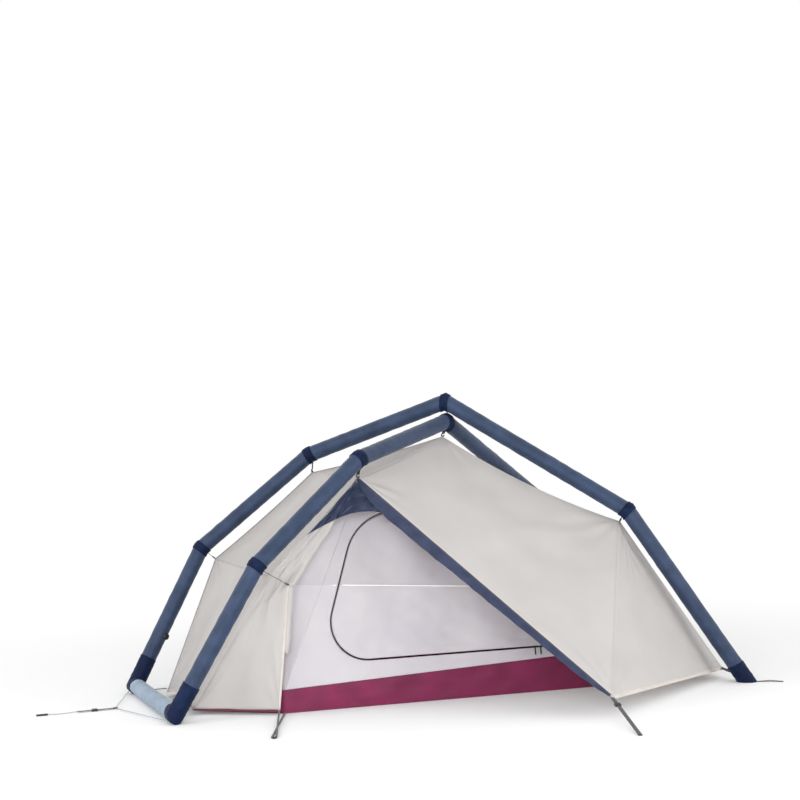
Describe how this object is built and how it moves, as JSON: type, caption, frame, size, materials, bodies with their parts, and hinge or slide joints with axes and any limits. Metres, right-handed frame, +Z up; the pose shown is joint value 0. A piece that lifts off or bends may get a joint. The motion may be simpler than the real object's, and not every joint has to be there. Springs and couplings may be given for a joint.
{
  "type": "inflatable tent",
  "caption": "Small inflatable tent: crossing air-filled arches, a fly sheet hung under them, an inner tent with a zipped door and a tub floor, and its guys.",
  "frame": {"origin": "on the ground, on the underside of the tub floor, under the point where the two arches cross", "axes": "+Z up, +X towards the head end along the tent's length, -Y towards the entrance"},
  "size_m": [2.8431, 2.2373, 1.2363],
  "materials": {
    "sleeve_cloth": "coated woven polyester, slate blue",
    "reinforcement_cloth": "coated woven polyester, navy",
    "bladder_film": "translucent polyurethane film",
    "fly_cloth": "silicone-coated ripstop, off-white",
    "flap_cloth": "coated woven nylon, dark blue",
    "inner_mesh": "breathable nylon and mosquito mesh, pale",
    "floor_cloth": "coated nylon, deep magenta",
    "zip_plastic": "nylon coil and moulded sliders, black",
    "moulded_plastic": "moulded acetal, black",
    "webbing": "woven polyester webbing and cord, black",
    "guy_cord": "braided polyester cord, pale grey"
  },
  "bodies": {
    "root": {"bladder_foot_cross": "bladder_film", "bladder_lower_arch": "bladder_film", "bladder_upper_arch": "bladder_film", "bridle_front": "guy_cord", "bridle_rear": "guy_cord", "collar_crown_lower": "reinforcement_cloth", "collar_crown_upper": "reinforcement_cloth", "collar_front_bend": "reinforcement_cloth", "collar_front_knee": "reinforcement_cloth", "collar_front_shoulder": "reinforcement_cloth", "collar_rear_bend": "reinforcement_cloth", "collar_rear_knee": "reinforcement_cloth", "collar_rear_shoulder": "reinforcement_cloth", "cuff_front_foot": "reinforcement_cloth", "cuff_rear_foot": "reinforcement_cloth", "cup_front_head": "reinforcement_cloth", "cup_rear_head": "reinforcement_cloth", "door_zip": "zip_plastic", "fly_foot_end": "fly_cloth", "fly_foot_roof": "fly_cloth", "fly_front_corner": "fly_cloth", "fly_front_foot": "fly_cloth", "fly_front_main": "fly_cloth", "fly_head_end": "fly_cloth", "fly_rear_corner": "fly_cloth", "fly_rear_side": "fly_cloth", "fly_zip": "zip_plastic", "front_strap": "webbing", "inner_foot": "inner_mesh", "inner_front": "inner_mesh", "inner_head": "inner_mesh", "inner_rear": "inner_mesh", "inner_roof": "inner_mesh", "left_strap": "webbing", "left_tail": "guy_cord", "left_toggle": "moulded_plastic", "peak_gusset": "flap_cloth", "peg_loop": "webbing", "rolled_door": "fly_cloth", "sleeve_foot_cross": "sleeve_cloth", "sleeve_front_foot_crown": "sleeve_cloth", "sleeve_front_foot_shin": "sleeve_cloth", "sleeve_front_foot_thigh": "sleeve_cloth", "sleeve_front_head_crown": "sleeve_cloth", "sleeve_front_head_leg": "sleeve_cloth", "sleeve_rear_foot_crown": "sleeve_cloth", "sleeve_rear_foot_shin": "sleeve_cloth", "sleeve_rear_foot_thigh": "sleeve_cloth", "sleeve_rear_head_crown": "sleeve_cloth", "sleeve_rear_head_leg": "sleeve_cloth", "storm_flap": "flap_cloth", "tub_floor": "floor_cloth", "valve_body": "moulded_plastic"},
    "valve_cap": {"valve_cap": "moulded_plastic"},
    "inner_door": {"inner_door": "inner_mesh"},
    "zip_slider_left": {"zip_slider_left": "zip_plastic"},
    "zip_slider_right": {"zip_slider_right": "zip_plastic"},
    "fly_zip_slider": {"fly_zip_slider": "zip_plastic"},
    "front_buckle": {"front_buckle": "moulded_plastic"},
    "left_buckle": {"left_buckle": "moulded_plastic"}
  },
  "joints": [
    {"name": "valve_cap_hinge", "type": "hinge", "parent": "root", "child": "valve_cap", "pos_m": [-1.17667, 0.38685, 0.23652], "axis": [-0.499, -0.1075, -0.8599], "range_deg": [0, 120]},
    {"name": "inner_door_swing", "type": "hinge", "parent": "root", "child": "inner_door", "pos_m": [0.30313, -0.42083, 0.42131], "axis": [-0.3772, 0.1949, 0.9054], "range_deg": [-40, 10]},
    {"name": "left_slider_travel", "type": "slide", "parent": "root", "child": "zip_slider_left", "axis": [-0.9979, 0.0643, 0], "range_m": [0, 0.62]},
    {"name": "right_slider_travel", "type": "slide", "parent": "root", "child": "zip_slider_right", "axis": [0.9979, -0.0643, 0], "range_m": [0, 0.1]},
    {"name": "fly_slider_travel", "type": "slide", "parent": "root", "child": "fly_zip_slider", "axis": [-0.521, 0.598, 0.609], "range_m": [0, 1.2]},
    {"name": "front_buckle_travel", "type": "slide", "parent": "root", "child": "front_buckle", "axis": [-0.1848, -0.9637, -0.1927], "range_m": [-0.04, 0.25]},
    {"name": "left_buckle_travel", "type": "slide", "parent": "root", "child": "left_buckle", "axis": [-1, 0, 0], "range_m": [-0.045, 0.045]}
  ]
}
